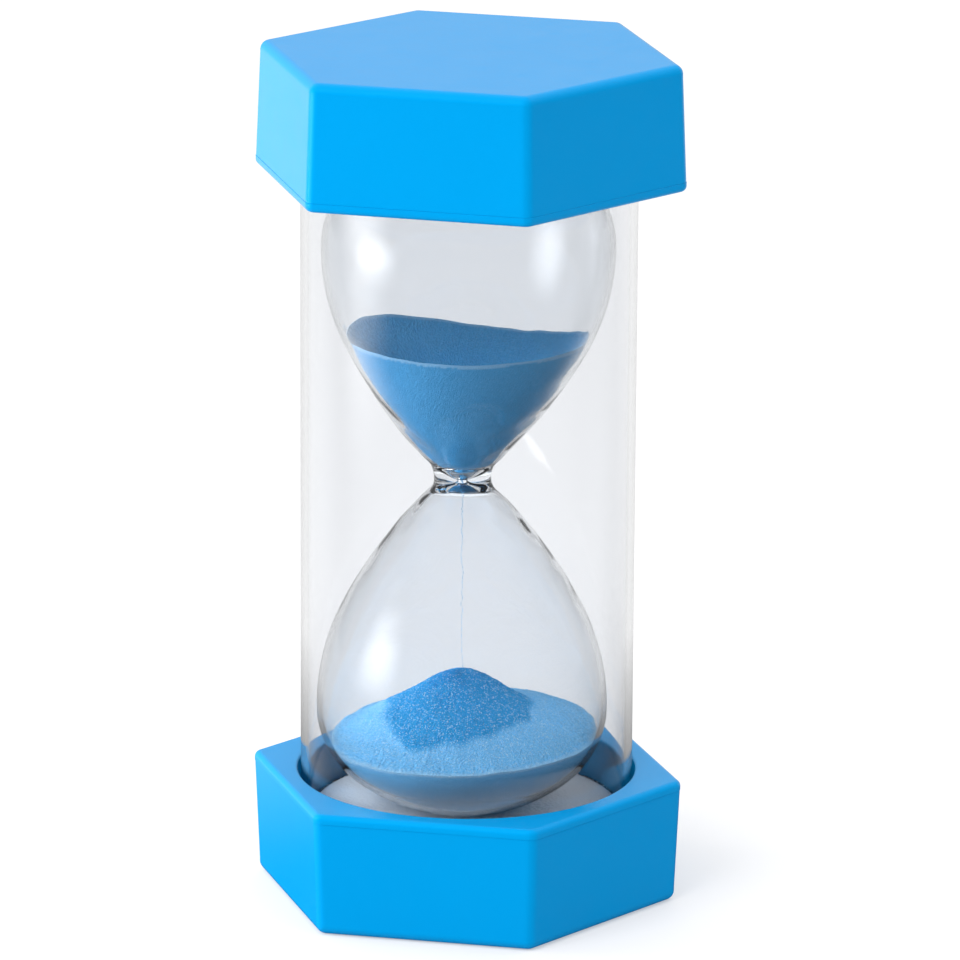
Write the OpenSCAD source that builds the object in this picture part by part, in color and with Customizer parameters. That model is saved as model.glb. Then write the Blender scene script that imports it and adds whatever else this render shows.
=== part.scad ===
// Hourglass: a glass double bulb with sand, held in a clear tube between two hexagonal caps.
// Frame: origin at the centre of the base, +Z up, one corner of the lower cap on +X.

/* [Overall] */
// Height over both caps
total_h = 160; // [156:0.5:166]
// Turn of the upper cap against the lower cap, in degrees
cap_twist = -2.7; // [-5:0.1:5]

/* [Caps] */
// Height of each cap
cap_h = 23.5; // [22:0.5:26]
// Width across flats at the rim that faces the tube
flats_rim = 71.3; // [70.5:0.1:76]
// Width across flats at the closed outer face
flats_face = 69.5; // [69:0.1:70.5]
// Radius of the upright corners
edge_r = 2.2; // [2:0.1:3]
// Rounding of the closed outer face's edge
face_round = 1.8; // [1:0.1:1.9]
// Thickness of the side walls
cap_wall = 1.6; // [1.2:0.1:1.7]
// Thickness of the closed outer face
face_t = 2.2; // [1.6:0.1:3]
// Thickness of the deck plate, down to the seam line
deck_t = 1.8; // [1.5:0.1:2.5]
// Rounding of the deck's outer edge
deck_round = 1.1; // [0.5:0.1:1.4]
// Depth of the round socket, from deck to floor
socket_depth = 11; // [9:0.5:12]
// Thickness of the socket's wall
socket_wall = 1.2; // [1:0.1:1.3]
// Thickness of the socket's floor
socket_floor_t = 1.8; // [1.5:0.1:2.5]
// Length of the lip that plugs the deck into the shell
lip_h = 5; // [3:0.5:8]

/* [Tube] */
// Outer diameter of the clear tube
tube_d = 62.1; // [61:0.1:62.4]
// Wall of the clear tube
tube_wall = 1.4; // [1:0.1:1.6]
// Gap between tube and socket, on each side
tube_gap = 0.55; // [0.3:0.05:0.6]
// Height of the glue ring at the socket's floor
glue_h = 2.5; // [1:0.5:5]

/* [Bulb] */
// Outer diameter of the glass at the neck
neck_d = 10.5; // [10:0.1:11]
// Diameter of the bore that meters the sand
bore_d = 1.2; // [1:0.1:1.6]
// Wall of the glass, away from the neck
glass_wall = 0.9; // [0.8:0.1:1.6]
// Radius of the hollow curve round the neck
neck_arc = 4.2; // [3.5:0.1:5]
// Slope of the glass above the neck, in degrees from upright
neck_turn = 44.7; // [44:0.1:45.5]
// Radius of the long shoulder curve
shoulder_arc = 89.7; // [85:0.1:92]
// Slope where shoulder and belly meet, in degrees from upright
belly_turn = 26.8; // [26.5:0.1:27.5]
// Radius of the belly curve
belly_arc = 40.7; // [39:0.1:42]
// Share of the bulb's end that the tighter curve takes, in degrees
dome_turn = 50; // [45:1:55]
// Diameter of the filling hole in the upper end
fill_d = 6; // [5:0.5:7]

/* [Pads] */
// How far the bulb's end sinks into each foam pad
pad_seat = 0.8; // [0.5:0.1:1.2]
// Thickness of each foam pad
pad_t = 3.5; // [3:0.1:4.5]
// Diameter of the hole in the middle of each pad
pad_hole_d = 12; // [11:0.5:14]

/* [Sand] */
// Height of the upper sand's rim above the neck
upper_level = 26; // [20:0.1:30]
// Slope of the crater in the upper sand, in degrees
crater_slope = 29; // [20:0.5:33]
// Lean of the upper sand's surface, in degrees
upper_lean = 3.3; // [0:0.1:5]
// Height of the heap's tip above the base
heap_top = 42.6; // [40:0.1:46]
// Slope of the fresh heap, in degrees
heap_slope = 31.5; // [28:0.5:33]
// Height at which the apron round the heap would reach the axis
apron_top = 39; // [35:0.1:42]
// Slope of the apron, in degrees
apron_slope = 18.8; // [12:0.2:20]
// Lean of the apron, in degrees
apron_lean = 3.3; // [0:0.1:5]
// Diameter of the falling stream
stream_d = 0.8; // [0.6:0.1:0.9]

/* [Hidden] */

$fn = 96;
corner_fn = 32;             // sides of the rounded corners inside a hull
slip = 0.1;                 // clearance between the deck's lip and the shell
eps = 0.5;                  // overrun of a cut past the face that it opens
slice = 0.1;                // thickness of the end slices inside a hull
overlap = 0.2;              // depth to which the bodies of one piece run into each other
rib_t = 1.4;                // thickness of the ribs inside a shell
rib_start = 14;             // distance from the axis at which a rib starts
rib_end = 38.2;             // and ends, inside the wall of a corner
lip_t = 1.2;                // thickness of the lip
mid_z = total_h / 2;        // height of the neck
seam_z = cap_h - deck_t;    // height of the seam between shell and deck
floor_z = cap_h - socket_depth;
socket_r = tube_d / 2 + tube_gap;
corner_angles = [0:60:300];

// Bulb: heights are measured from the neck, the turn from upright.
neck_h = neck_arc * sin(neck_turn);
neck_r = neck_d / 2 + neck_arc * (1 - cos(neck_turn));
bulb_half = mid_z - floor_z - pad_t + pad_seat;
belly_h = neck_h + shoulder_arc * (sin(neck_turn) - sin(belly_turn))
    + belly_arc * sin(belly_turn);
belly_r = neck_r
    + shoulder_arc * (cos(belly_turn) - cos(neck_turn)) + belly_arc * (1 - cos(belly_turn));

// The two curves of each end meet at dome_turn and reach the axis square to it.
end_h = bulb_half - belly_h;
dome_det = sin(dome_turn) * cos(dome_turn) - (1 - sin(dome_turn)) * (1 - cos(dome_turn));
dome_arc = (end_h * cos(dome_turn) - belly_r * (1 - sin(dome_turn))) / dome_det;
end_arc = (belly_r * sin(dome_turn) - end_h * (1 - cos(dome_turn))) / dome_det;

// Sand
sand_gap = 0.1;             // air between the grains and the glass
funnel_arc = 1.2;           // rounding where the bore opens into the funnel
sand_reach = 40;            // radius past which every sand cone is cut by the glass
inner_r_at_level = 21.4;    // radius of the glass at the upper sand's rim
tip_r = 2;                  // radius of the blunt tip of the heap
rim_room = 4;               // height over the upper sand's level that its leaning rim stays under
upper_lean_to = 102;        // direction in which the upper sand's surface falls
apron_lean_to = 220;        // direction in which the apron falls
stopper_l = 4;              // length of the stopper inside the bulb
stopper_taper = 0.8;        // by how much the stopper's lower end is thinner
stopper_flange_d = 9;
stopper_flange_t = 0.9;
pad_slip = 0.35;            // clearance between pad and tube

// Points of an arc about (h, r), as [r, h], while the turn goes from a to b.
function arc(h, r, radius, a, b, n) =
    [for (i = [0:n]) let (t = a + (b - a) * i / n) [r + radius * cos(t), h - radius * sin(t)]];

// Belly and end of the bulb, set in by w from the outer glass.
function bulb_end(w) = concat(
    arc(belly_h, belly_r - belly_arc, belly_arc - w, belly_turn, 0, 10),
    arc(belly_h, belly_r - dome_arc, dome_arc - w, -2, -dome_turn, 10),
    arc(bulb_half - end_arc, 0, end_arc - w, -dome_turn - 2, -90, 12));

// Shoulder of the bulb, set in by w from the outer glass.
function shoulder(w) =
    arc(neck_h + shoulder_arc * sin(neck_turn), neck_r - shoulder_arc * cos(neck_turn),
        shoulder_arc - w, neck_turn - 1, belly_turn, 12);

// Outer glass from neck to end: hollow neck curve, shoulder, belly, end.
function outer_outline() = concat(
    [for (t = [0:neck_turn / 8:neck_turn]) [neck_d / 2 + neck_arc * (1 - cos(t)), neck_arc * sin(t)]],
    shoulder(0),
    bulb_end(0));

// Inside of the glass: lip of the bore, a bowl under the funnel, then parallel to the outside.
function mouth(t, bore) = [bore + funnel_arc * (1 - cos(t)), funnel_arc * sin(t)];
function bowl(t, w, bore) =
    [neck_r - w * cos(neck_turn), neck_h + w * sin(neck_turn)] - mouth(t, bore);
function mouth_turn(t, w, bore, n) =
    n == 0 ? t
    : let (c = bowl(t, w, bore)) mouth_turn(2 * atan2(c[0], c[1]) - neck_turn, w, bore, n - 1);
function inner_outline(w, bore) =
    let (t = mouth_turn(60, w, bore, 8),
         radius = norm(bowl(t, w, bore)) / (2 * sin((t - neck_turn) / 2)),
         m = mouth(t, bore))
    concat(
        [for (a = [0:t / 6:t - 1]) mouth(a, bore)],
        arc(m[1] + radius * sin(t), m[0] - radius * cos(t), radius, t, neck_turn, 8),
        shoulder(w),
        bulb_end(w));

module at_corners(flats, r) {
    for (a = corner_angles)
        rotate([0, 0, a]) translate([(flats / 2 - r) / cos(30), 0, 0]) children();
}

// Rounded hexagonal prism with draft, upright corners only.
module hex_block(z0, z1, flats0, flats1, r) {
    hull() {
        translate([0, 0, z0]) at_corners(flats0, r) cylinder(h = slice, r = r, $fn = corner_fn);
        translate([0, 0, z1 - slice]) at_corners(flats1, r) cylinder(h = slice, r = r, $fn = corner_fn);
    }
}

// Disc with a rounded upper edge.
module puck(r, h, round_r) {
    rotate_extrude($fn = corner_fn) {
        square([r - round_r, h]);
        square([r, h - round_r]);
        translate([r - round_r, h - round_r]) intersection() {
            circle(round_r, $fn = corner_fn);
            square(round_r);
        }
    }
}

module ring(z0, z1, outer_r, inner_r) {
    translate([0, 0, z0]) difference() {
        cylinder(h = z1 - z0, r = outer_r);
        translate([0, 0, -eps]) cylinder(h = z1 - z0 + 2 * eps, r = inner_r);
    }
}

// Width across flats of the outside at a height above the closed face.
function flats_at(z) = flats_face + (flats_rim - flats_face) * z / cap_h;

// Closed hexagonal shell, open towards the deck, with six ribs under the socket.
module cap_shell() {
    inner_r = edge_r - 1;
    rib_top = floor_z - socket_floor_t;
    difference() {
        hull() {
            translate([0, 0, edge_r]) at_corners(flats_at(edge_r), edge_r)
                rotate([180, 0, 0]) puck(edge_r, edge_r, face_round);
            translate([0, 0, seam_z - slice]) at_corners(flats_at(seam_z), edge_r)
                cylinder(h = slice, r = edge_r, $fn = corner_fn);
        }
        hex_block(face_t, seam_z + eps, flats_at(face_t) - 2 * cap_wall,
                  flats_at(seam_z + eps) - 2 * cap_wall, inner_r);
    }
    for (a = corner_angles)
        rotate([0, 0, a]) translate([rib_start, -rib_t / 2, face_t - overlap])
            cube([rib_end - rib_start, rib_t, rib_top - face_t + overlap]);
}

// Deck plate with its lip and the round socket that holds the tube.
module cap_deck() {
    lip_z = seam_z - lip_h;
    lip_flats = flats_at(lip_z) - 2 * (cap_wall + slip);
    plug_flats = flats_at(seam_z) - 2 * (cap_wall + slip);
    difference() {
        union() {
            translate([0, 0, seam_z]) hull()
                at_corners(flats_rim, edge_r) puck(edge_r, deck_t, deck_round);
            difference() {
                hex_block(lip_z, seam_z + overlap, lip_flats, plug_flats, edge_r - 1);
                hex_block(lip_z - eps, seam_z, lip_flats - 2 * lip_t, plug_flats - 2 * lip_t, 0.5);
            }
            translate([0, 0, floor_z - socket_floor_t])
                cylinder(h = seam_z - floor_z + socket_floor_t + overlap, r = socket_r + socket_wall);
        }
        translate([0, 0, floor_z]) cylinder(h = socket_depth + eps, r = socket_r);
    }
}

// Foam disc, pressed in by the bulb's end and open in the middle.
module pad() {
    difference() {
        translate([0, 0, floor_z]) cylinder(h = pad_t, r = tube_d / 2 - tube_wall - pad_slip);
        translate([0, 0, mid_z - bulb_half + end_arc]) sphere(end_arc, $fn = 192);
        translate([0, 0, floor_z - eps]) cylinder(h = pad_t + 2 * eps, d = pad_hole_d);
    }
}

module glue_ring() ring(floor_z, floor_z + glue_h, socket_r, tube_d / 2);

// The upper cap is the lower one turned over.
module turned_over() {
    rotate([0, 0, cap_twist]) translate([0, 0, total_h]) rotate([180, 0, 0]) children();
}

module lower_cap_shell() { color("deepskyblue") cap_shell(); }
module lower_cap_deck() { color("dodgerblue") cap_deck(); }
module lower_pad() { color("gainsboro") pad(); }
module lower_glue_ring() { color("white", 0.5) glue_ring(); }
module upper_cap_shell() { color("deepskyblue") turned_over() cap_shell(); }
module upper_cap_deck() { color("dodgerblue") turned_over() cap_deck(); }
module upper_pad() { color("gainsboro") turned_over() pad(); }
module upper_glue_ring() { color("white", 0.5) turned_over() glue_ring(); }

module outer_tube() {
    color("azure", 0.3) ring(floor_z, total_h - floor_z, tube_d / 2, tube_d / 2 - tube_wall);
}

// One piece of glass: two bulbs that share a thick neck.
module glass_bulb() {
    outer = outer_outline();
    inner = inner_outline(glass_wall, bore_d / 2);
    half = concat(outer, [for (i = [len(inner) - 1:-1:1]) inner[i]]);
    mirrored = [for (i = [len(half) - 1:-1:1]) [half[i][0], -half[i][1]]];
    color("lightcyan", 0.4) translate([0, 0, mid_z]) difference() {
        rotate_extrude() polygon(concat(half, [inner[0]], mirrored));
        translate([0, 0, bulb_half - 2 * glass_wall]) cylinder(h = 4 * glass_wall, d = fill_d);
    }
}

// Rubber stopper in the filling hole at the bulb's upper end.
module filling_stopper() {
    seat_z = mid_z + bulb_half - end_arc + sqrt(end_arc * end_arc - fill_d * fill_d / 4);
    color("whitesmoke") {
        translate([0, 0, seat_z - stopper_l])
            cylinder(h = stopper_l - glass_wall, d1 = fill_d - stopper_taper, d2 = fill_d);
        translate([0, 0, seat_z - glass_wall]) cylinder(h = glass_wall, d = fill_d);
        translate([0, 0, seat_z]) cylinder(h = stopper_flange_t, d = stopper_flange_d);
    }
}

// The space inside one bulb, from the bore's mouth to the end, less the gap.
module bulb_space() {
    points = inner_outline(glass_wall + sand_gap, bore_d / 2 - sand_gap);
    rotate_extrude() polygon(concat([[0, 0]], points));
}

// Turns what follows about the axis at height z, so that it falls towards the given direction.
module leaning(z, lean, direction) {
    translate([0, 0, z]) rotate([0, 0, direction]) rotate([0, lean, 0]) children();
}

// Cone of sand with its tip at the origin, blunted at radius tip.
module sand_cone(slope, tip) {
    drop = (sand_reach - tip) * tan(slope);
    translate([0, 0, -drop]) cylinder(h = drop, r1 = sand_reach, r2 = tip);
}

module upper_sand() {
    crater_h = sand_reach * tan(crater_slope);
    crater_drop = inner_r_at_level * tan(crater_slope);
    color("cornflowerblue") translate([0, 0, mid_z]) difference() {
        intersection() {
            bulb_space();
            translate([0, 0, funnel_arc]) cylinder(h = upper_level + rim_room - funnel_arc, r = sand_reach);
        }
        leaning(upper_level - crater_drop, upper_lean, upper_lean_to)
            cylinder(h = crater_h, r1 = 0, r2 = sand_reach);
    }
}

module lower_sand() {
    color("cornflowerblue") intersection() {
        translate([0, 0, mid_z]) mirror([0, 0, 1]) bulb_space();
        union() {
            translate([0, 0, heap_top]) sand_cone(heap_slope, tip_r);
            leaning(apron_top, apron_lean, apron_lean_to) sand_cone(apron_slope, 0.1);
        }
    }
}

module sand_stream() {
    color("cornflowerblue") translate([0, 0, heap_top])
        cylinder(h = mid_z + funnel_arc - heap_top, d = stream_d);
}

lower_cap_shell();
lower_cap_deck();
lower_pad();
lower_glue_ring();
outer_tube();
glass_bulb();
filling_stopper();
upper_sand();
sand_stream();
lower_sand();
upper_glue_ring();
upper_pad();
upper_cap_deck();
upper_cap_shell();
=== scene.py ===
"""Looks of the hourglass: every piece is modelled again at the size of the CAD node it replaces.

Lengths in the shape functions are millimetres in the row frame; mesh_object() turns them into metres.
Left, right and away are as the camera sees them. The studio's own lengths are metres.
"""

import math

import bpy
import numpy as np
from mathutils import Matrix, Vector


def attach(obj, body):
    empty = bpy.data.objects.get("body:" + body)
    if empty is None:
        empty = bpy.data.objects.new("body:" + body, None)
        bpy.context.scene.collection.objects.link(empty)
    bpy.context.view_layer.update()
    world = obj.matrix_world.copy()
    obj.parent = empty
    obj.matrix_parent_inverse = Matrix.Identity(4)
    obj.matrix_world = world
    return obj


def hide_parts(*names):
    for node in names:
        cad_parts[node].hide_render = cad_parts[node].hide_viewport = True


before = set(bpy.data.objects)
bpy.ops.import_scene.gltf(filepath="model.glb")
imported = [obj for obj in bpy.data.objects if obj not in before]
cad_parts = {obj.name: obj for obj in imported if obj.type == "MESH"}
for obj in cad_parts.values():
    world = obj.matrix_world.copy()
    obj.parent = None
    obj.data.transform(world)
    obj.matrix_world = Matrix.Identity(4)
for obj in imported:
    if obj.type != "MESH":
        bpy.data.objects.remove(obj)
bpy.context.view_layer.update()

MM = 0.001
RNG = np.random.default_rng(11)

# Caps
TOTAL_H = 160.0
CAP_TWIST = math.radians(-2.7)
CAP_H = 23.5
FLATS_RIM = 71.3
FLATS_FACE = 69.5
EDGE_R = 2.2
FACE_ROUND = 1.8
CAP_WALL = 1.6
FACE_T = 2.2
DECK_T = 1.8
DECK_ROUND = 1.1
SOCKET_DEPTH = 11.0
SOCKET_WALL = 1.2
SOCKET_FLOOR_T = 1.8
MOUTH_ROUND = 0.45
SEAM_BEVEL = 0.05  # breaks the edges of the seam, which then shows as a fine line
LIP_H = 5.0
LIP_T = 1.0  # a little thinner than in CAD, so that it clears the socket's wall
LIP_SLIP = 0.1
RIB_T = 1.4
RIB_START = 14.0
RIB_END = 38.2
SEAM_Z = CAP_H - DECK_T
FLOOR_Z = CAP_H - SOCKET_DEPTH

# Tube, glue and pads
TUBE_R = 31.05
TUBE_WALL = 1.4
TUBE_END_ROUND = 0.3
STRAIGHT_FROM = 1.0  # past this distance from the rounded ends the wall is shaded as straight
SOCKET_R = TUBE_R + 0.55
GLUE_H = 2.5
PAD_T = 3.5
PAD_R = TUBE_R - TUBE_WALL - 0.35
PAD_HOLE_R = 6.0
PAD_SEAT = 0.8
PAD_EASE = 0.12  # softens the edge of the dent
PAD_SEGMENTS = 200

# Bulb, measured from the neck; turns are degrees from upright
MID_Z = TOTAL_H / 2
NECK_R = 5.25
BORE_R = 0.6
GLASS_WALL = 0.9
NECK_ARC = 4.2
NECK_TURN = 44.7
SHOULDER_ARC = 89.7
BELLY_TURN = 26.8
BELLY_ARC = 40.7
DOME_TURN = 50.0
FUNNEL_ARC = 1.2
FILL_R = 3.0
GLASS_SEGMENTS = 256
OUTER_UNEVEN = 0.03
INNER_UNEVEN = 0.05
BULB_HALF = MID_Z - FLOOR_Z - PAD_T + PAD_SEAT
THROAT_H = NECK_ARC * math.sin(math.radians(NECK_TURN))
THROAT_R = NECK_R + NECK_ARC * (1 - math.cos(math.radians(NECK_TURN)))

# Stopper, measured from its seat in the filling hole
STOPPER_FOOT = 3.9
FLANGE_R = 4.5
FLANGE_T = 0.9

# Sand; slopes and leans are degrees, apart from the heap's
SAND_GAP = 0.1
GRAIN_STEP = 0.3
GRAIN_ROUGH = 0.055
GRAIN_JITTER = 0.05
UPPER_RIM = 26.0
UPPER_RIM_R = 21.4
UPPER_LEAN = 3.3
UPPER_LEAN_TO = 102.0
CRATER_SLOPE = 29.0
CRATER_TIP = 1.5
RIM_SADDLE = 0.7  # rise of the rim at left and right, and drop at front and back
RIM_FALL = 2.0  # how strongly the back of the rim falls to the right
HEAP_TOP = 42.6
HEAP_TIP = 3.0
HEAP_SLOPE = 0.70  # drop for each millimetre outwards
HEAP_FOOT_R = 8.0
HEAP_EASE = 0.06  # by how much the slope eases past HEAP_FOOT_R
HEAP_TO_FRONT = 0.05
HEAP_TO_RIGHT = 0.03
APRON_TOP = 39.0
APRON_SLOPE = 18.8
APRON_LEAN = 3.3
APRON_LEAN_TO = 220.0
LOWER_RIM_R = 25.3
FOOT_BLEND = 0.25
STREAM_R = 0.4

# Where the heap is painted darker, as the sand that fell last and as painted shade on its steep faces,
# and where older sand covers its foot on the left
FRESH_SHADE_FROM_Z = 31.0
FRESH_SHADE_EDGE = 0.6
COVERED_FROM = 10.0
COVER_RISE = 0.35
COVER_BLUR = 0.15
RIM_WHITENING = 0.6

# The hand-blown bulb is off the axis by DRIFT at the heights DRIFT_Z; negative is to the left
DRIFT_Z = (12.0, 31.0, 55.0, 80.0, 107.0, 148.0)
DRIFT = (-0.7, -0.9, -1.0, -1.0, -0.15, 0.0)

# Camera: its own frame is the row frame turned by CAMERA_TURN about Z; distances in metres
CAMERA_TURN = math.radians(12.29)
CAMERA_PITCH = math.radians(15.59)
CAMERA_ROLL = math.radians(-0.341)
CAMERA_DISTANCE = 1.289
CAMERA_LENS = 260.8
CAMERA_OFFSET = (-0.002251, 0.000959)

# Studio: lengths in metres, glow and backdrop as emission strengths
FLOOR_GLOW = 0.42
FLOOR_HALF = 4.0
FLOOR_DROP = 0.0001
BACKDROP = 1.08


# ---------------------------------------------------------------- mesh tools


def turned(x, y, z=0.0):
    """A point or direction of the camera's frame in the row frame."""
    c, s = math.cos(CAMERA_TURN), math.sin(CAMERA_TURN)
    return Vector((c * x - s * y, s * x + c * y, z))


def in_view(x, y):
    """How far points lie to the right of the axis and how far beyond it."""
    side = turned(1, 0)
    return x * side.x + y * side.y, y * side.x - x * side.y


def mesh_object(name, points, faces, material, smooth=True, sharp=30.0):
    """A mesh in the scene from points in millimetres."""
    mesh = bpy.data.meshes.new(name)
    mesh.from_pydata((np.asarray(points) * MM).tolist(), [], faces)
    mesh.materials.append(material)
    if smooth:
        mesh.shade_smooth()
        mesh.set_sharp_from_angle(angle=math.radians(sharp))
    obj = bpy.data.objects.new(name, mesh)
    bpy.context.scene.collection.objects.link(obj)
    return obj


def loft(rings, closed=False):
    """Quads between rings of equal length. If closed, the last meets the first; if not, fans end it."""
    rings = np.asarray(rings, float)
    count, size = rings.shape[:2]
    points = rings.reshape(-1, 3)
    row = np.arange(size)
    following = (row + 1) % size
    faces = []
    for k in range(count if closed else count - 1):
        a, b = k * size, (k + 1) % count * size
        faces.append(np.stack([a + row, a + following, b + following, b + row], 1))
    faces = np.concatenate(faces).tolist()
    if not closed:
        first, last = len(points), len(points) + 1
        start = (count - 1) * size
        points = np.vstack([points, rings[0].mean(0), rings[-1].mean(0)])
        faces += [[first, int(following[i]), int(i)] for i in row]
        faces += [[last, start + int(i), start + int(following[i])] for i in row]
    return points, faces


def lathe(profile, segments):
    """Rings from a profile of (radius, height) points."""
    turn = np.linspace(0, 2 * math.pi, segments, endpoint=False)
    profile = np.asarray(profile, float)
    rings = np.zeros((len(profile), segments, 3))
    rings[:, :, 0] = profile[:, :1] * np.cos(turn)
    rings[:, :, 1] = profile[:, :1] * np.sin(turn)
    rings[:, :, 2] = profile[:, 1:]
    return rings


def smooth_step(x):
    x = np.clip(x, 0, 1)
    return x * x * (3 - 2 * x)


def joined(parts):
    """One mesh's points and faces from several."""
    points, faces, start = [], [], 0
    for part_points, part_faces in parts:
        points.append(np.asarray(part_points))
        faces += [[start + i for i in face] for face in part_faces]
        start += len(part_points)
    return np.vstack(points), faces


def turned_over(points):
    """The lower cap's points as the upper cap's."""
    x, y, z = np.asarray(points, float).T
    c, s = math.cos(CAP_TWIST), math.sin(CAP_TWIST)
    return np.stack([c * x + s * y, s * x - c * y, TOTAL_H - z], 1)


# ---------------------------------------------------------------- hexagonal caps

CORNER_STEPS = 10
FLAT_SHARES = np.concatenate([[0.01], np.linspace(0.035, 0.965, 38), [0.99]])


def hexagon_template():
    """For each point of a rounded hexagon: its corner direction and its outward direction."""
    corners, normals = [], []
    for i in range(6):
        here, there = math.radians(60 * i), math.radians(60 * i + 60)
        for t in here + np.radians(np.linspace(-30, 30, CORNER_STEPS + 1)):
            corners.append([math.cos(here), math.sin(here)])
            normals.append([math.cos(t), math.sin(t)])
        a = np.array([math.cos(here), math.sin(here)])
        b = np.array([math.cos(there), math.sin(there)])
        flat = [math.cos(here + math.pi / 6), math.sin(here + math.pi / 6)]
        for share in FLAT_SHARES:
            corners.append((a + (b - a) * share).tolist())
            normals.append(flat)
    return np.array(corners), np.array(normals)


HEX_CORNERS, HEX_NORMALS = hexagon_template()


def hex_ring(flats, radius, z):
    centre = (flats / 2 - radius) / math.cos(math.radians(30))
    xy = centre * HEX_CORNERS + radius * HEX_NORMALS
    return np.column_stack([xy, np.full(len(xy), z)])


RIM_XY = hex_ring(FLATS_RIM, EDGE_R, 0)[:, :2]
RIM_DIRECTIONS = RIM_XY / np.linalg.norm(RIM_XY, axis=1, keepdims=True)


def round_ring(radius, z):
    """A circle whose points lie in the same directions as the hexagon's."""
    return np.column_stack([radius * RIM_DIRECTIONS, np.full(len(RIM_DIRECTIONS), z)])


def flats_at(z):
    return FLATS_FACE + (FLATS_RIM - FLATS_FACE) * z / CAP_H


def cap_shell():
    """Closed shell with six ribs inside."""
    face_flats = flats_at(EDGE_R) - 2 * FACE_ROUND
    face_corner = EDGE_R - FACE_ROUND
    rings = [
        hex_ring(face_flats * share, face_corner * share, 0)
        for share in (0.05, 0.3, 0.6, 0.85, 0.97, 0.995)
    ]
    for t in np.radians(np.linspace(0, 90, 11)):
        inset = FACE_ROUND * (1 - math.sin(t))
        z = FACE_ROUND * (1 - math.cos(t))
        rings.append(hex_ring(flats_at(EDGE_R) - 2 * inset, EDGE_R - inset, z))
    for z in (EDGE_R, 4.0, 9.0, 15.0, SEAM_Z - 0.5, SEAM_Z - SEAM_BEVEL):
        rings.append(hex_ring(flats_at(z), EDGE_R, z))
    rings.append(hex_ring(flats_at(SEAM_Z) - 2 * SEAM_BEVEL, EDGE_R - SEAM_BEVEL, SEAM_Z))
    inner_r = EDGE_R - 1
    for z in (SEAM_Z, SEAM_Z / 2, FACE_T):
        rings.append(hex_ring(flats_at(z) - 2 * CAP_WALL, inner_r, z))
    rings.append(hex_ring(20, inner_r, FACE_T))
    parts = [loft(rings)]
    rib_top = FLOOR_Z - SOCKET_FLOOR_T
    for i in range(6):
        parts.append(rib(math.radians(60 * i), rib_top))
    return joined(parts)


def rib(turn, top):
    """A thin upright wall inside the shell, with a drafted top."""
    half, crown = RIB_T / 2, RIB_T / 2 - 0.15
    section = [(half, FACE_T - 0.2), (crown, top), (-crown, top), (-half, FACE_T - 0.2)]
    c, s = math.cos(turn), math.sin(turn)
    rings = [
        [(c * x - s * y, s * x + c * y, z) for y, z in section]
        for x in (RIB_START, RIB_END)
    ]
    return loft(rings)


def cap_deck():
    """Deck plate, lip and round socket as one moulding."""
    cup_r = SOCKET_R + SOCKET_WALL
    cup_z = FLOOR_Z - SOCKET_FLOOR_T
    lip_z = SEAM_Z - LIP_H
    lip_flats = flats_at(lip_z) - 2 * (CAP_WALL + LIP_SLIP)
    plug_flats = flats_at(SEAM_Z) - 2 * (CAP_WALL + LIP_SLIP)
    rings = [round_ring(cup_r * share, cup_z) for share in (0.1, 0.6, 0.99)]
    rings += [round_ring(cup_r, cup_z + 0.3), round_ring(cup_r, SEAM_Z)]
    rings.append(hex_ring(plug_flats - 2 * LIP_T, 0.5, SEAM_Z))
    rings.append(hex_ring(lip_flats - 2 * LIP_T, 0.5, lip_z))
    rings.append(hex_ring(lip_flats, EDGE_R - 1, lip_z))
    rings.append(hex_ring(plug_flats, EDGE_R - 1, SEAM_Z))
    rings.append(hex_ring(FLATS_RIM - 2 * SEAM_BEVEL, EDGE_R - SEAM_BEVEL, SEAM_Z))
    rings.append(hex_ring(FLATS_RIM, EDGE_R, SEAM_Z + SEAM_BEVEL))
    for t in np.radians(np.linspace(0, 90, 9)):
        inset = DECK_ROUND * (1 - math.cos(t))
        z = CAP_H - DECK_ROUND * (1 - math.sin(t))
        rings.append(hex_ring(FLATS_RIM - 2 * inset, EDGE_R - inset, z))
    edge = hex_ring(FLATS_RIM - 2 * DECK_ROUND, EDGE_R - DECK_ROUND, CAP_H)
    mouth = round_ring(SOCKET_R + MOUTH_ROUND, CAP_H)
    for share in (0.05, 0.35, 0.65, 0.95):
        rings.append(edge + (mouth - edge) * share)
    for t in np.radians(np.linspace(0, 90, 7)):
        radius = SOCKET_R + MOUTH_ROUND * (1 - math.sin(t))
        rings.append(round_ring(radius, CAP_H - MOUTH_ROUND * (1 - math.cos(t))))
    rings += [round_ring(SOCKET_R, z) for z in (CAP_H - 1, 17.0, FLOOR_Z + 0.4)]
    rings += [round_ring(SOCKET_R - inset, FLOOR_Z) for inset in (0.4, 1.0, 12.0, 30.0)]
    return loft(rings)


# ---------------------------------------------------------------- bulb outline


def arc(height, radius, curve, first, last, count):
    """Points (radius, height) of an arc whose turn runs from first to last."""
    t = np.radians(np.linspace(first, last, count))
    return np.column_stack([radius + curve * np.cos(t), height - curve * np.sin(t)])


def bulb_sizes():
    """Height and radius of the belly, and the two curves of each end."""
    neck, belly, dome = (math.radians(a) for a in (NECK_TURN, BELLY_TURN, DOME_TURN))
    height = (
        THROAT_H
        + SHOULDER_ARC * (math.sin(neck) - math.sin(belly))
        + BELLY_ARC * math.sin(belly)
    )
    radius = (
        THROAT_R
        + SHOULDER_ARC * (math.cos(belly) - math.cos(neck))
        + BELLY_ARC * (1 - math.cos(belly))
    )
    rest = BULB_HALF - height
    s, c = math.sin(dome), math.cos(dome)
    det = s * c - (1 - s) * (1 - c)
    dome_arc = (rest * c - radius * (1 - s)) / det
    end_arc = (radius * s - rest * (1 - c)) / det
    return height, radius, dome_arc, end_arc


BELLY_H, BELLY_R, DOME_ARC, END_ARC = bulb_sizes()


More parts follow.
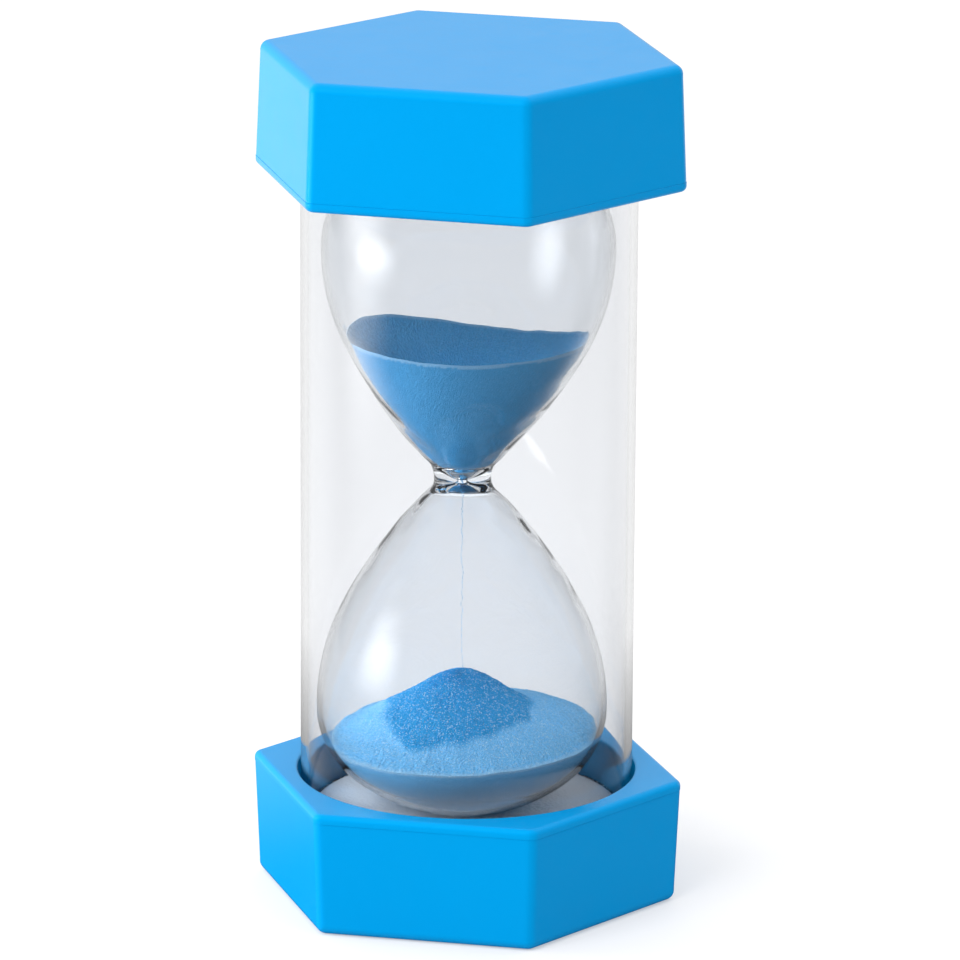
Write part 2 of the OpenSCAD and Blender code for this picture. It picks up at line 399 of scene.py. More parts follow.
def bulb_end(inset):
    """Belly, dome and end of the bulb, set in from the outer glass."""
    return np.vstack([
        arc(BELLY_H, BELLY_R - BELLY_ARC, BELLY_ARC - inset, BELLY_TURN, 0, 28),
        arc(BELLY_H, BELLY_R - DOME_ARC, DOME_ARC - inset, -2, -DOME_TURN, 28),
        arc(BULB_HALF - END_ARC, 0, END_ARC - inset, -DOME_TURN - 2, -89.8, 26),
    ])


def shoulder(inset):
    neck = math.radians(NECK_TURN)
    return arc(
        THROAT_H + SHOULDER_ARC * math.sin(neck), THROAT_R - SHOULDER_ARC * math.cos(neck),
        SHOULDER_ARC - inset, NECK_TURN - 0.8, BELLY_TURN + 0.8, 40,
    )


def lip(radius, curve, turn, count):
    """Arc that starts upright at a radius and turns outwards."""
    t = np.linspace(0, turn, count)
    return np.column_stack([radius + curve * (1 - np.cos(t)), curve * np.sin(t)])


def outer_outline():
    return np.vstack([lip(NECK_R, NECK_ARC, math.radians(NECK_TURN), 16), shoulder(0), bulb_end(0)])


def inner_outline(inset, bore):
    """Lip of the bore, a bowl under the funnel, then parallel to the outside."""
    neck = math.radians(NECK_TURN)
    start = np.array([THROAT_R - inset * math.cos(neck), THROAT_H + inset * math.sin(neck)])
    t = math.radians(60)
    for _ in range(12):
        mouth = np.array([bore + FUNNEL_ARC * (1 - math.cos(t)), FUNNEL_ARC * math.sin(t)])
        chord = start - mouth
        t = 2 * math.atan2(chord[0], chord[1]) - neck
    curve = np.linalg.norm(chord) / (2 * math.sin((t - neck) / 2))
    bowl = arc(
        mouth[1] + curve * math.sin(t), mouth[0] - curve * math.cos(t),
        curve, math.degrees(t) - 0.8, NECK_TURN, 16,
    )
    return np.vstack([lip(bore, FUNNEL_ARC, t, 12), bowl, shoulder(inset), bulb_end(inset)])


def drifted(points):
    """Moves points of the bulb and of what is in it along with the bulb's axis."""
    points = np.array(points, float)
    z = np.clip(points[..., 2], DRIFT_Z[0], DRIFT_Z[-1])
    knot = np.clip(np.searchsorted(DRIFT_Z, z) - 1, 0, len(DRIFT_Z) - 2)
    low, high = np.take(DRIFT_Z, knot), np.take(DRIFT_Z, knot + 1)
    share = smooth_step((z - low) / (high - low))
    offset = np.take(DRIFT, knot) * (1 - share) + np.take(DRIFT, knot + 1) * share
    side = turned(1, 0)
    points[..., 0] += offset * side.x
    points[..., 1] += offset * side.y
    return points


def hand_blown(rings, strength):
    """Lobes and ripples in the thick glass round the neck, and faint ones along the shoulders."""
    rings = rings.copy()
    turn = np.arctan2(rings[..., 1], rings[..., 0])
    height = rings[..., 2] - MID_Z
    near = np.exp(-((height / 6) ** 2))
    wide = 0.16 * np.exp(-((height / 16) ** 2))
    lobes = (
        0.5 * np.cos(3 * turn + 0.9)
        + 0.3 * np.cos(5 * turn - 0.4 + 0.25 * height)
        + 0.35 * np.sin(1.15 * height + 2 * turn)
    )
    ripples = np.cos(9 * turn + 0.5 * height) + np.sin(6 * turn - 0.9 * height)
    scale = 1 + strength * (near * lobes + wide * ripples)
    rings[..., 0] *= scale
    rings[..., 1] *= scale
    return rings


def glass_bulb():
    """Both bulbs and the neck: outside from the lower end up, then inside back down."""
    outer, inner = outer_outline(), inner_outline(GLASS_WALL, BORE_R)
    lower = np.column_stack([outer[::-1, 0], MID_Z - outer[::-1, 1]])
    upper = np.column_stack([outer[1:, 0], MID_Z + outer[1:, 1]])
    upper = upper[upper[:, 0] > FILL_R + 0.15]
    top = upper[-1, 1]
    hole = np.array([[FILL_R + 0.05, top + 0.02], [FILL_R, top - 0.1]])
    outside = np.vstack([lower, upper, hole])
    down = np.column_stack([inner[::-1, 0], MID_Z + inner[::-1, 1]])
    down = down[down[:, 0] > FILL_R]
    up = np.column_stack([inner[1:, 0], MID_Z - inner[1:, 1]])
    inside = np.vstack([down, up])
    rings = np.vstack([
        hand_blown(lathe(outside, GLASS_SEGMENTS), OUTER_UNEVEN),
        hand_blown(lathe(inside, GLASS_SEGMENTS), INNER_UNEVEN),
    ])
    return loft(drifted(rings))


# ---------------------------------------------------------------- sand


def leaning_cone(x, y, top, slope, lean, lean_to):
    """Height of a cone about the axis whose surface also leans towards a direction."""
    radius = np.hypot(x, y)
    towards = math.radians(lean_to)
    along = x * math.cos(towards) + y * math.sin(towards)
    return top + slope * radius - math.tan(math.radians(lean)) * along


def undulation(x, y, size, waves):
    """Gentle unevenness from a few crossed waves. Their number is also the seed of their draw."""
    rng = np.random.default_rng(waves)
    total = np.zeros_like(x)
    for _ in range(waves):
        angle, length, phase = rng.uniform(0, math.pi), rng.uniform(3.5, 11), rng.uniform(0, 6.28)
        total += np.sin((x * math.cos(angle) + y * math.sin(angle)) * 6.28 / length + phase)
    return size * total / math.sqrt(waves)


def crater(x, y):
    """Surface of the upper sand: a leaning crater with a blunt bottom and an uneven rim."""
    radius = np.hypot(x, y)
    slope = math.tan(math.radians(CRATER_SLOPE))
    blunt = np.sqrt(radius**2 + CRATER_TIP**2)
    plane = leaning_cone(x, y, UPPER_RIM - UPPER_RIM_R * slope, 0.0, UPPER_LEAN, UPPER_LEAN_TO)
    right, away = in_view(x, y)
    saddle = RIM_SADDLE * (right**2 - away**2) / UPPER_RIM_R**2
    fall = RIM_FALL * right * np.maximum(away, 0) / UPPER_RIM_R**2
    return MID_Z + plane + slope * blunt + saddle - fall + undulation(x, y, 0.06, 9)


def heap(x, y):
    """Height of the fresh heap: blunt at the tip, easing at the foot, steeper to the front and right."""
    radius = np.hypot(x, y)
    right, away = in_view(x, y)
    to_front = -away / np.maximum(radius, 1e-6)
    to_right = right / np.maximum(radius, 1e-6)
    slope = HEAP_SLOPE * (1 + HEAP_TO_FRONT * to_front + HEAP_TO_RIGHT * to_right)
    blunt = np.sqrt(radius**2 + HEAP_TIP**2) - HEAP_TIP
    foot = HEAP_EASE * (np.sqrt(np.maximum(radius - HEAP_FOOT_R, 0) ** 2 + 1) - 1)
    return HEAP_TOP - slope * blunt + foot + undulation(x, y, 0.13, 7)


def apron(x, y):
    slope = math.tan(math.radians(APRON_SLOPE))
    return leaning_cone(x, y, APRON_TOP, -slope, APRON_LEAN, APRON_LEAN_TO) + undulation(x, y, 0.1, 8)


def bed(x, y):
    """Surface of the lower sand: the heap on its apron, with a soft foot."""
    a, b = heap(x, y), apron(x, y)
    return (a + b + np.sqrt((a - b) ** 2 + FOOT_BLEND**2)) / 2


def freshness(x, y):
    """1 on the sand that fell last, whose darker colour also paints the shade on the heap's steep faces;
    on the left the older sand lies over its foot.
    """
    right, _ = in_view(x, y)
    covered = np.maximum(-right - COVERED_FROM, 0)
    above = heap(x, y) - apron(x, y) - COVER_RISE * covered
    return smooth_step(above / (FRESH_SHADE_EDGE + COVER_BLUR * covered) + 0.4)


def sand_body(surface, wall_r, wall_z, low_z, base_r):
    """Rings from the lowest point up the glass and back over the free surface to the axis.

    base_r is about the radius of the rim: the search for the rim starts there, and it sets how many
    grains a ring has.
    """
    count = int(2 * math.pi * base_r / GRAIN_STEP)
    turn = np.linspace(0, 2 * math.pi, count, endpoint=False)
    c, s = np.cos(turn), np.sin(turn)
    order = np.argsort(wall_z)
    glass_z, glass_r = np.asarray(wall_z)[order], np.asarray(wall_r)[order]
    rim_z = np.full(count, surface(np.array([base_r]), np.array([0.0]))[0])
    for _ in range(60):
        r = np.interp(rim_z, glass_z, glass_r)
        rim_z = 0.5 * rim_z + 0.5 * surface(r * c, r * s)
    side_steps = int(abs(rim_z.mean() - low_z) / GRAIN_STEP)
    rings = []
    for share in np.linspace(0, 1, side_steps + 1):
        z = low_z + (rim_z - low_z) * share
        r = np.interp(z, glass_z, glass_r) - RNG.uniform(0, GRAIN_JITTER, count)
        rings.append(np.column_stack([r * c, r * s, z]))
    rim_r = np.interp(rim_z, glass_z, glass_r)
    for share in np.linspace(0, 1, int(base_r / GRAIN_STEP) + 1)[1:-1]:
        r = rim_r * (1 - share)
        z = surface(r * c, r * s) + RNG.normal(0, GRAIN_ROUGH, count)
        jitter = RNG.normal(0, GRAIN_JITTER, (2, count))
        rings.append(np.column_stack([r * c + jitter[0], r * s + jitter[1], z]))
    return loft(np.array(rings))


def upper_sand():
    outline = inner_outline(GLASS_WALL + SAND_GAP, BORE_R - SAND_GAP)
    return sand_body(crater, outline[:, 0], MID_Z + outline[:, 1], MID_Z + 0.3, UPPER_RIM_R)


def lower_sand():
    outline = inner_outline(GLASS_WALL + SAND_GAP, BORE_R - SAND_GAP)
    bottom = MID_Z - outline[-1, 1]
    return sand_body(bed, outline[:, 0], MID_Z - outline[:, 1], bottom + 0.02, LOWER_RIM_R)


def sand_stream():
    """Falling grains, packed at the neck and drawn out into thin streaks lower down."""
    top, bottom = MID_Z + FUNNEL_ARC, HEAP_TOP - 0.3
    parts = []
    z = top
    while z > bottom:
        fall = (top - z) / (top - bottom)
        width = 0.085 + 0.03 * RNG.random() - 0.04 * fall
        length = 0.25 + 1.6 * fall
        spread = STREAM_R * (0.75 - 0.3 * smooth_step(fall * 5))
        angle, off = RNG.uniform(0, 2 * math.pi), spread * math.sqrt(RNG.random())
        centre = np.array([off * math.cos(angle), off * math.sin(angle), z])
        parts.append(grain(centre, width, length))
        z -= length * (0.12 + 0.75 * smooth_step(fall * 6))
    points, faces = joined(parts)
    points[:, 2] = np.clip(points[:, 2], bottom, top)
    return points, faces


def grain(centre, width, length):
    """A small spindle of eight faces."""
    turn = RNG.uniform(0, math.pi / 2)
    ring = [
        centre + [width * math.cos(turn + a), width * math.sin(turn + a), 0]
        for a in (0, math.pi / 2, math.pi, 3 * math.pi / 2)
    ]
    points = [*ring, centre + [0, 0, length / 2], centre - [0, 0, length / 2]]
    faces = [[0, 1, 4], [1, 2, 4], [2, 3, 4], [3, 0, 4], [1, 0, 5], [2, 1, 5], [3, 2, 5], [0, 3, 5]]
    return points, faces


# ---------------------------------------------------------------- tube, pads, stopper, glue


def rounded_band(inner, outer, low, high, edge):
    """Closed profile of a ring with rounded edges, anticlockwise in (radius, height)."""
    foot, head = low + edge + STRAIGHT_FROM, high - edge - STRAIGHT_FROM
    corners = [
        (outer - edge, low + edge, -90, [(outer, foot), (outer, head)]),
        (outer - edge, high - edge, 0, []),
        (inner + edge, high - edge, 90, [(inner, head), (inner, foot)]),
        (inner + edge, low + edge, 180, []),
    ]
    points = []
    for r, z, start, wall in corners:
        for t in np.radians(np.linspace(start, start + 90, 6)):
            points.append((r + edge * math.cos(t), z + edge * math.sin(t)))
        points += wall
    return points


def outer_tube():
    band = rounded_band(TUBE_R - TUBE_WALL, TUBE_R, FLOOR_Z, TOTAL_H - FLOOR_Z, TUBE_END_ROUND)
    return loft(lathe(band, GLASS_SEGMENTS), closed=True)


def pad():
    """Foam disc with a dent for the bulb's end, soft edges and an uneven top."""
    dent_z = MID_Z - BULB_HALF + END_ARC
    top = FLOOR_Z + PAD_T
    profile = [(PAD_HOLE_R, FLOOR_Z + 0.4), (PAD_HOLE_R + 0.4, FLOOR_Z)]
    profile += [(r, FLOOR_Z) for r in (12.0, 20.0, PAD_R - 0.5)]
    profile += [(PAD_R - 0.12, FLOOR_Z + 0.15), (PAD_R, FLOOR_Z + 0.6), (PAD_R, top - 0.9)]
    profile += [(PAD_R - 0.2, top - 0.3), (PAD_R - 0.8, top - 0.02)]
    for r in np.linspace(PAD_R - 1.6, PAD_HOLE_R + 0.4, 60):
        pressed = dent_z - math.sqrt(END_ARC**2 - r * r) - 0.03
        profile.append((r, top - PAD_EASE * math.log1p(math.exp((top - pressed) / PAD_EASE))))
    profile.append((PAD_HOLE_R, profile[-1][1] - 0.4))
    rings = lathe(profile, PAD_SEGMENTS)
    turn = np.linspace(0, 2 * math.pi, PAD_SEGMENTS, endpoint=False)
    shallow = rings[..., 2] > FLOOR_Z + 1
    wobble = 0.05 * np.sin(7 * turn + rings[..., 2]) + 0.04 * np.sin(13 * turn + 1)
    rings[..., 2] -= shallow * (0.09 + wobble)
    return loft(rings, closed=True)


def stopper():
    """Rubber plug with a thin flange, slightly domed."""
    seat = MID_Z + BULB_HALF - END_ARC + math.sqrt(END_ARC**2 - FILL_R**2)
    foot, crown = seat - STOPPER_FOOT, seat + FLANGE_T
    profile = [(0.6, foot), (2.2, foot), (2.6, foot + 0.3)]
    profile += [(FILL_R - 0.02, seat - 1.3), (FILL_R - 0.02, seat - 0.02), (FILL_R + 0.6, seat - 0.02)]
    profile += [(FLANGE_R - 0.2, seat - 0.02), (FLANGE_R, seat + 0.2), (FLANGE_R, crown - 0.45)]
    profile += [(FLANGE_R - 0.3, crown - 0.2), (3.0, crown - 0.05), (0.6, crown)]
    return loft(lathe(profile, 72))


def glue_ring():
    """Glue between tube and socket, with a hollow top where it wets both walls."""
    inner, outer, top = TUBE_R + 0.01, SOCKET_R - 0.01, FLOOR_Z + GLUE_H
    profile = [(outer, FLOOR_Z + 0.02), (outer, top)]
    for share in np.linspace(0.1, 0.9, 7):
        profile.append((outer + (inner - outer) * share, top - 0.28 * math.sin(math.pi * share)))
    profile += [(inner, top), (inner, FLOOR_Z + 0.02)]
    return loft(lathe(profile, 160), closed=True)


# ---------------------------------------------------------------- materials


class Nodes:
    """Short calls to build the node tree of a material or of the world."""

    def __init__(self, block):
        self.block = block
        block.use_nodes = True
        self.tree = block.node_tree
        self.tree.nodes.clear()
        kind = "World" if isinstance(block, bpy.types.World) else "Material"
        self.output = self.add("ShaderNodeOutput" + kind)

    def add(self, kind, inputs=(), **settings):
        node = self.tree.nodes.new(kind)
        for key, value in settings.items():
            setattr(node, key, value)
        for key, value in dict(inputs).items():
            if isinstance(value, bpy.types.NodeSocket):
                self.tree.links.new(value, node.inputs[key])
            else:
                node.inputs[key].default_value = value
        return node

    def position(self):
        return self.add("ShaderNodeTexCoord").outputs["Object"]

    def noise(self, scale, detail=2.0, roughness=0.5):
        return self.add(
            "ShaderNodeTexNoise",
            {"Vector": self.position(), "Scale": scale, "Detail": detail, "Roughness": roughness},
        ).outputs["Fac"]

    def spread(self, value, low, high, to_low, to_high):
        """Maps low..high of a value on to_low..to_high, clamped."""
        return self.add(
            "ShaderNodeMapRange",
            {"Value": value, "From Min": low, "From Max": high, "To Min": to_low, "To Max": to_high},
        ).outputs["Result"]

    def mix(self, factor, a, b):
        node = self.add("ShaderNodeMix", data_type="RGBA")
        for key, value in ((0, factor), (6, a), (7, b)):
            if isinstance(value, bpy.types.NodeSocket):
                self.tree.links.new(value, node.inputs[key])
            else:
                node.inputs[key].default_value = value
        return node.outputs[2]

    def bump(self, height, strength, distance):
        return self.add(
            "ShaderNodeBump", {"Height": height, "Strength": strength, "Distance": distance}
        ).outputs["Normal"]

    def math(self, operation, a, b=0.0):
        return self.add("ShaderNodeMath", {0: a, 1: b}, operation=operation).outputs["Value"]

    def finish(self, shader):
        self.tree.links.new(shader, self.output.inputs["Surface"])
        return self.block


def material_nodes(name):
    return Nodes(bpy.data.materials.new(name))


def moulded_plastic():
    """Bright blue plastic with a satin gloss, faint flow marks and fine handling marks."""
    n = material_nodes("moulded_plastic")
    flow = n.noise(38, 3)
    fine = n.noise(1800, 2)
    colour = n.mix(flow, (0.0, 0.25, 0.575, 1), (0.0, 0.263, 0.60, 1))
    rough = n.spread(n.noise(240, 5, 0.65), 0.3, 0.7, 0.2, 0.27)
    soft = n.bump(flow, 0.1, 0.001)
    normal = n.add(
        "ShaderNodeBump", {"Height": fine, "Strength": 0.05, "Distance": 0.00005, "Normal": soft}
    ).outputs["Normal"]
    shader = n.add("ShaderNodeBsdfPrincipled", {
        "Base Color": colour, "Roughness": rough, "IOR": 1.4, "Normal": normal,
        "Specular Tint": (0.05, 0.6, 1.0, 1),
    })
    return n.finish(shader.outputs["BSDF"])


def clear(name, colour, ior):
    """Clear glass or plastic. It casts almost no shadow, so that what it holds is lit."""
    n = material_nodes(name)
    glass = n.add("ShaderNodeBsdfPrincipled", {
        "Base Color": colour, "Roughness": 0.0, "IOR": ior, "Transmission Weight": 1.0,
    })
    through = n.add("ShaderNodeBsdfTransparent", {"Color": (0.99, 0.992, 0.995, 1)})
    ray = n.add("ShaderNodeLightPath").outputs["Is Shadow Ray"]
    both = n.add("ShaderNodeMixShader", {0: ray, 1: glass.outputs["BSDF"], 2: through.outputs["BSDF"]})
    return n.finish(both.outputs["Shader"])


def dyed_sand():
    """Dyed grains, one to a cell: deeper where fresh, which also paints the shade on the heap's steep
    faces; paler where whitened; some with a painted glitter.
    """
    n = material_nodes("dyed_sand")
    cells = n.add("ShaderNodeTexVoronoi", {"Vector": n.position(), "Scale": 5200.0})
    split = n.add("ShaderNodeSeparateColor", {"Color": cells.outputs["Color"]})
    shade, glitter = split.outputs["Red"], split.outputs["Green"]
    fresh = n.add("ShaderNodeAttribute", attribute_name="fresh").outputs["Fac"]
    whitening = n.add("ShaderNodeAttribute", attribute_name="whitening").outputs["Fac"]
    glint = n.add("ShaderNodeAttribute", attribute_name="glint").outputs["Fac"]
    dull = n.mix(shade, (0.15, 0.50, 0.89, 1), (0.22, 0.59, 0.96, 1))
    # The deeper colour of the fresh sand also paints the shade on the heap's steep faces.
    deep_and_shaded = n.mix(shade, (0.01, 0.29, 0.64, 1), (0.04, 0.38, 0.80, 1))
    body = n.mix(whitening, n.mix(fresh, dull, deep_and_shaded), (0.42, 0.72, 0.99, 1))
    # Painted glitter: a pale colour on a few grains of the free surface stands in for glints of light.
    painted_glint = n.spread(glitter, 0.80, 0.95, 0.0, 0.46)
    colour = n.mix(n.math("MULTIPLY", painted_glint, glint), body, (0.72, 0.90, 1.0, 1))
    rough = n.spread(glitter, 0.9, 0.96, 0.8, 0.35)
    normal = n.bump(cells.outputs["Distance"], 0.6, 0.00012)
    shader = n.add("ShaderNodeBsdfPrincipled", {
        "Base Color": colour, "Roughness": rough, "Normal": normal, "IOR": 1.35,
        "Specular Tint": (0.3, 0.7, 1.0, 1),
    })
    return n.finish(shader.outputs["BSDF"])


def closed_cell_foam():
    n = material_nodes("closed_cell_foam")
    cells = n.add("ShaderNodeTexVoronoi", {"Vector": n.position(), "Scale": 1500.0})
    # The foam is pale; the blue in its tint is painted light, standing in for light bounced from the blue
    # socket walls.
    tone = n.mix(n.noise(160, 4), (0.80, 0.87, 0.96, 1), (0.90, 0.95, 1.0, 1))
    normal = n.bump(cells.outputs["Distance"], 0.5, 0.0003)
    shader = n.add("ShaderNodeBsdfPrincipled", {
        "Base Color": tone, "Roughness": 0.85, "Normal": normal, "IOR": 1.4,
    })
    return n.finish(shader.outputs["BSDF"])


def pale_rubber():
    n = material_nodes("pale_rubber")
    tone = n.mix(n.noise(300, 3), (0.80, 0.80, 0.77, 1), (0.88, 0.88, 0.85, 1))
    normal = n.bump(n.noise(2500, 2), 0.2, 0.0001)
    shader = n.add("ShaderNodeBsdfPrincipled", {
        "Base Color": tone, "Roughness": 0.6, "Normal": normal, "IOR": 1.45,
    })
    return n.finish(shader.outputs["BSDF"])


def set_glue():
    n = material_nodes("set_glue")
    rough = n.spread(n.noise(900, 3), 0.3, 0.7, 0.15, 0.35)
    shader = n.add("ShaderNodeBsdfPrincipled", {
        "Base Color": (0.93, 0.94, 0.92, 1), "Roughness": rough, "IOR": 1.45,
        "Transmission Weight": 1.0,
    })
    return n.finish(shader.outputs["BSDF"])


# ---------------------------------------------------------------- pieces

plastic = moulded_plastic()
acrylic = clear("clear_acrylic", (0.942, 0.95, 0.962, 1), 1.49)
glass = clear("blown_glass", (0.965, 0.98, 0.995, 1), 1.5)
sand = dyed_sand()
foam = closed_cell_foam()
rubber = pale_rubber()
glue = set_glue()


def piece(name, shape, material, node, slot, **settings):
    """Adds a piece that stands for a CAD node."""
    points, faces = shape
    obj = mesh_object(name, points, faces, material, **settings)
    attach(obj, "root")
    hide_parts(node)
    return obj


def upside_down(shape):
    return turned_over(shape[0]), shape[1]


def mark(obj, name, value):
    """Writes a value from 0 to 1 at each point of the sand, for its material to read."""
    attribute = obj.data.attributes.new(name, "FLOAT", "POINT")
    attribute.data.foreach_set("value", np.broadcast_to(value, len(obj.data.vertices)).astype(np.float32))


def rim_whitening(points, surface):
    """Paler sand where the free surface meets the glass: the outermost 0.9 mm, fading inwards."""
    x, y, z = points.T
    radius = np.hypot(x, y)
    depth = np.abs(z - surface(x, y))
    degree = np.round(np.degrees(np.arctan2(y, x))).astype(int) + 180
    reach = np.zeros(361)
    np.maximum.at(reach, degree, np.where(depth < 0.3, radius, 0))
    return smooth_step((radius - reach[degree] + 0.9) / 0.7) * (depth < 0.45)


def free_surface(points, surface):
    """1 on the open face of a body of sand, 0 where it lies against the glass."""
    x, y, z = points.T
    return (np.abs(z - surface(x, y)) < 0.35).astype(float)


def sand_piece(name, shape, node, fresh, whitening, glint):
    """A body of sand, moved along with the bulb's axis and marked for its material."""
    points, faces = shape
    obj = piece(name, (drifted(points), faces), sand, node, "blue_sand", smooth=False)
    mark(obj, "fresh", fresh)
    mark(obj, "whitening", whitening)
    mark(obj, "glint", glint)


shell_shape, deck_shape, pad_shape, glue_shape = cap_shell(), cap_deck(), pad(), glue_ring()
piece("shell_lower", shell_shape, plastic, "lower_cap_shell", "cap_plastic", sharp=35)
piece("shell_upper", upside_down(shell_shape), plastic, "upper_cap_shell", "cap_plastic", sharp=35)
piece("deck_lower", deck_shape, plastic, "lower_cap_deck", "cap_plastic", sharp=35)
piece("deck_upper", upside_down(deck_shape), plastic, "upper_cap_deck", "cap_plastic", sharp=35)
pad_lower = piece("pad_lower", pad_shape, foam, "lower_pad", "foam")
pad_upper = piece("pad_upper", upside_down(pad_shape), foam, "upper_pad", "foam")
piece("glue_lower", glue_shape, glue, "lower_glue_ring", "clear_glue")
piece("glue_upper", upside_down(glue_shape), glue, "upper_glue_ring", "clear_glue")
piece("tube", outer_tube(), acrylic, "outer_tube", "clear_plastic", sharp=60)
piece("bulb", glass_bulb(), glass, "glass_bulb", "bulb_glass", sharp=60)
piece("stopper", stopper(), rubber, "filling_stopper", "stopper_rubber")

above = upper_sand()
whitening = RIM_WHITENING * rim_whitening(above[0], crater)
sand_piece("sand_above", above, "upper_sand", fresh=0.6, whitening=whitening, glint=0.0)

below = lower_sand()
grains = below[0]
# The darker fresh zone of the lower sand is partly painted shade on the heap's steep faces.
fresh = freshness(grains[:, 0], grains[:, 1]) * (grains[:, 2] > FRESH_SHADE_FROM_Z)
whitening = RIM_WHITENING * rim_whitening(grains, bed)
sand_piece("sand_below", below, "lower_sand", fresh=fresh, whitening=whitening, glint=free_surface(grains, bed))

sand_piece("stream", sand_stream(), "sand_stream", fresh=0.5, whitening=0.7, glint=0.0)

# ---------------------------------------------------------------- floor, light and camera


BRIGHT_SIDE = tuple(turned(-0.12, 0.993))


def direct_view(n):
    """1 where the camera looks straight or through clear parts, 0 past a reflection or a matt face."""
    path = n.add("ShaderNodeLightPath")
    seen = n.math("ADD", path.outputs["Is Camera Ray"], path.outputs["Is Transmission Ray"])
    turns = n.math("ADD", path.outputs["Glossy Depth"], path.outputs["Diffuse Depth"])
    straight = n.math("LESS_THAN", turns, 0.5)
    return n.math("MULTIPLY", seen, straight)


def reflected(n):
    """1 for anything met on the way after a reflection."""
    return n.math("GREATER_THAN", n.add("ShaderNodeLightPath").outputs["Glossy Depth"], 0.5)


def facing(n, direction, axis, low, high):
    """Rises from 0 to 1 as the direction turns towards an axis."""
    dot = n.add("ShaderNodeVectorMath", {0: direction, 1: axis}, operation="DOT_PRODUCT")
    return n.add(
        "ShaderNodeMapRange",
        {"Value": dot.outputs["Value"], "From Min": low, "From Max": high},
        interpolation_type="SMOOTHSTEP",
    ).outputs["Result"]


def stage_mesh(name, corners, material):
    mesh = bpy.data.meshes.new(name)
    mesh.from_pydata(corners, [], [(0, 1, 2, 3)])
    mesh.materials.append(material)
    obj = bpy.data.objects.new(name, mesh)
    bpy.context.scene.collection.objects.link(obj)
    return obj


def studio_floor():
    """A wide pale floor with a little light of its own. In gloss it is dim, apart from its far side."""
    n = material_nodes("studio_floor")
    tone = n.mix(n.noise(3, 2), (0.40, 0.40, 0.405, 1), (0.43, 0.43, 0.435, 1))
    pale = n.add("ShaderNodeBsdfPrincipled", {
        "Base Color": tone, "Roughness": 0.9, "IOR": 1.3,
        "Emission Color": (1, 1, 1, 1), "Emission Strength": FLOOR_GLOW,
    })
    place = n.position()
    far = n.add("ShaderNodeVectorMath", {0: place}, operation="LENGTH").outputs["Value"]
    near_to_far = n.spread(far, 0.05, 0.18, 0.1, 0.95)
    unit = n.add("ShaderNodeVectorMath", {0: place}, operation="NORMALIZE").outputs["Vector"]
    side = n.spread(facing(n, unit, BRIGHT_SIDE, 0.1, 0.8), 0, 1, 0.15, 1)
    board = n.add("ShaderNodeEmission", {"Strength": n.math("MULTIPLY", near_to_far, side)})
    both = n.add(
        "ShaderNodeMixShader",
        {0: reflected(n), 1: pale.outputs["BSDF"], 2: board.outputs["Emission"]},
    )
    h = FLOOR_HALF
    corners = [(-h, -h, 0), (h, -h, 0), (h, h, 0), (-h, h, 0)]
    floor = stage_mesh("floor", corners, n.finish(both.outputs["Shader"]))
    floor.location.z = -FLOOR_DROP


def soft_box(name, position, target, width, height, radiance):
    """A wide lamp aimed at a point, both in the camera's frame. It lights matt faces only."""
    data = bpy.data.lights.new(name, "AREA")
    data.shape = "RECTANGLE"
    data.size, data.size_y = width, height
    data.energy = radiance * math.pi * width * height
    light = bpy.data.objects.new(name, data)
    light.location = turned(*position)
    aim = turned(*target) - light.location
    light.rotation_mode = "QUATERNION"
    light.rotation_quaternion = aim.to_track_quat("-Z", "Y")
    light.visible_camera = False
    light.visible_transmission = False
    light.visible_glossy = False
    bpy.context.scene.collection.objects.link(light)


def light_card(position, target, width, height, radiance):
    """A glowing upright card, placed like a soft box. It fades to its edges and shows in gloss only."""
    n = material_nodes("light_card")
    place = n.add("ShaderNodeSeparateXYZ", {"Vector": n.position()})
    power = n.spread(reflected(n), 0, 1, 0, radiance)
    for axis, size in (("X", width), ("Y", height)):
        away = n.math("ABSOLUTE", place.outputs[axis])
        fade = n.add(
            "ShaderNodeMapRange",
            {"Value": away, "From Min": size / 2, "From Max": 0.0},
            interpolation_type="SMOOTHSTEP",
        ).outputs["Result"]
        power = n.math("MULTIPLY", power, fade)
    glow = n.add("ShaderNodeEmission", {"Strength": power})
    clear_view = n.add("ShaderNodeBsdfTransparent")
    both = n.add("ShaderNodeAddShader", {0: glow.outputs["Emission"], 1: clear_view.outputs["BSDF"]})
    x, y = width / 2, height / 2
    corners = [(-x, -y, 0), (x, -y, 0), (x, y, 0), (-x, y, 0)]
    card = stage_mesh("light_card", corners, n.finish(both.outputs["Shader"]))
    card.location = turned(*position)
    card.rotation_mode = "QUATERNION"
    card.rotation_quaternion = (card.location - turned(*target)).to_track_quat("-Z", "Y")
    card.visible_camera = False


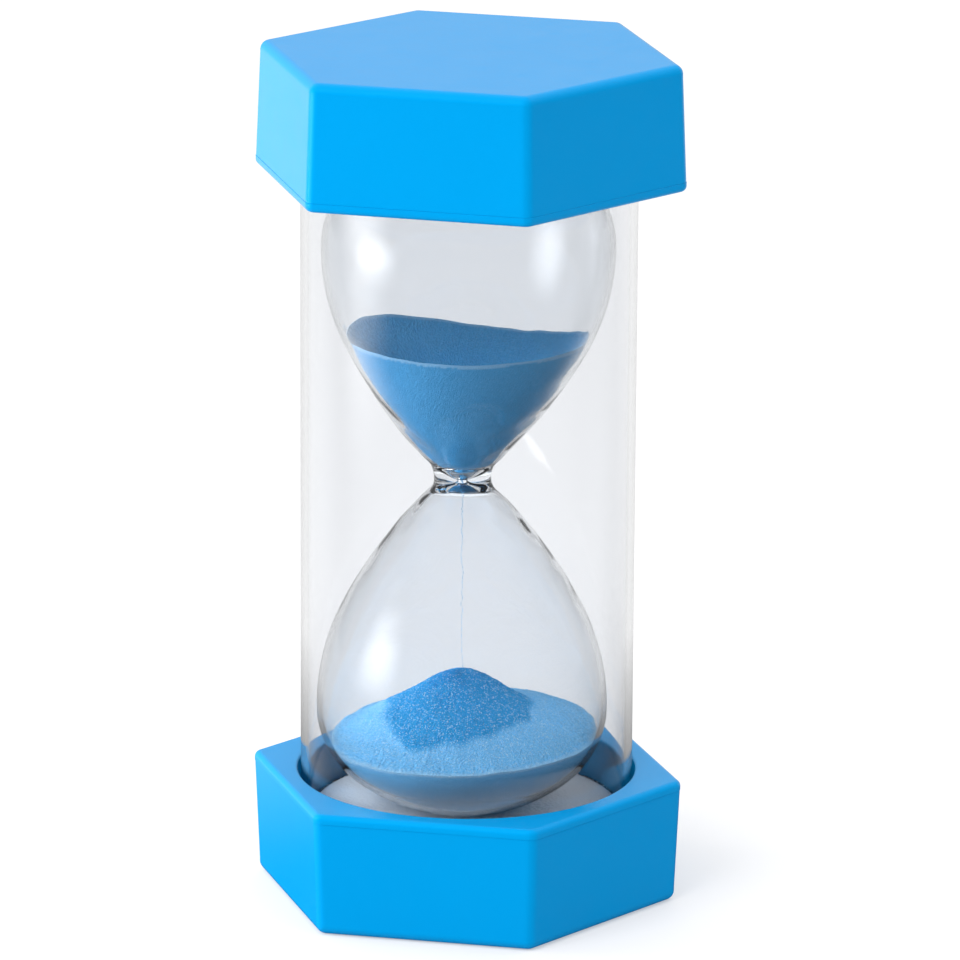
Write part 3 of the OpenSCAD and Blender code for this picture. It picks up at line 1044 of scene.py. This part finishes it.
def studio_world():
    """White where it is seen; as a light it is bright above and behind, and less so in gloss."""
    n = Nodes(bpy.data.worlds.new("studio"))
    direction = n.add("ShaderNodeTexCoord").outputs["Generated"]
    gloss = reflected(n)
    low = n.spread(gloss, 0, 1, 0.2, 0.35)
    high = n.spread(gloss, 0, 1, 0.55, 0.9)
    behind = facing(n, direction, BRIGHT_SIDE, -0.15, 0.45)
    above = facing(n, direction, (0, 0, 1), low, high)
    brightest = n.spread(gloss, 0, 1, 1.5, 0.65)
    studio = n.spread(n.math("MAXIMUM", behind, above), 0, 1, 0.12, brightest)
    strength = n.math("MAXIMUM", studio, n.math("MULTIPLY", direct_view(n), BACKDROP))
    background = n.add("ShaderNodeBackground", {"Color": (0.985, 0.99, 1.0, 1), "Strength": strength})
    bpy.context.scene.world = n.finish(background.outputs["Background"])


def studio_camera():
    """Looks at the middle of the hourglass, a little from above."""
    p, roll = CAMERA_PITCH, CAMERA_ROLL
    forward = Vector((0, math.cos(p), -math.sin(p)))
    up = Vector((0, math.sin(p), math.cos(p)))
    right = Vector((1, 0, 0))
    centre = Vector((0, 0, MID_Z * MM))
    place = centre - (CAMERA_DISTANCE * forward + CAMERA_OFFSET[0] * right + CAMERA_OFFSET[1] * up)
    rolled_right = math.cos(roll) * right - math.sin(roll) * up
    rolled_up = math.sin(roll) * right + math.cos(roll) * up
    axes = Matrix((rolled_right, rolled_up, -forward)).transposed().to_4x4()
    data = bpy.data.cameras.new("camera")
    data.sensor_width = 36.0
    data.lens = CAMERA_LENS
    data.clip_start, data.clip_end = 0.01, 50.0
    camera = bpy.data.objects.new("camera", data)
    camera.matrix_world = Matrix.Rotation(CAMERA_TURN, 4, "Z") @ Matrix.Translation(place) @ axes
    bpy.context.scene.collection.objects.link(camera)
    bpy.context.scene.camera = camera


studio_floor()
studio_world()
light_card((-0.266, -0.078, 0.128), (0.0, 0.0, 0.128), 0.25, 0.24, 5.6)
soft_box("key", (-0.68, -0.85, 0.85), (0.0, 0.0, 0.08), 0.8, 0.8, 6.0)
soft_box("side", (-0.47, 0.05, 0.08), (0.0, 0.0, 0.03), 0.3, 0.14, 17.0)
studio_camera()
bpy.context.scene.view_settings.view_transform = "Standard"
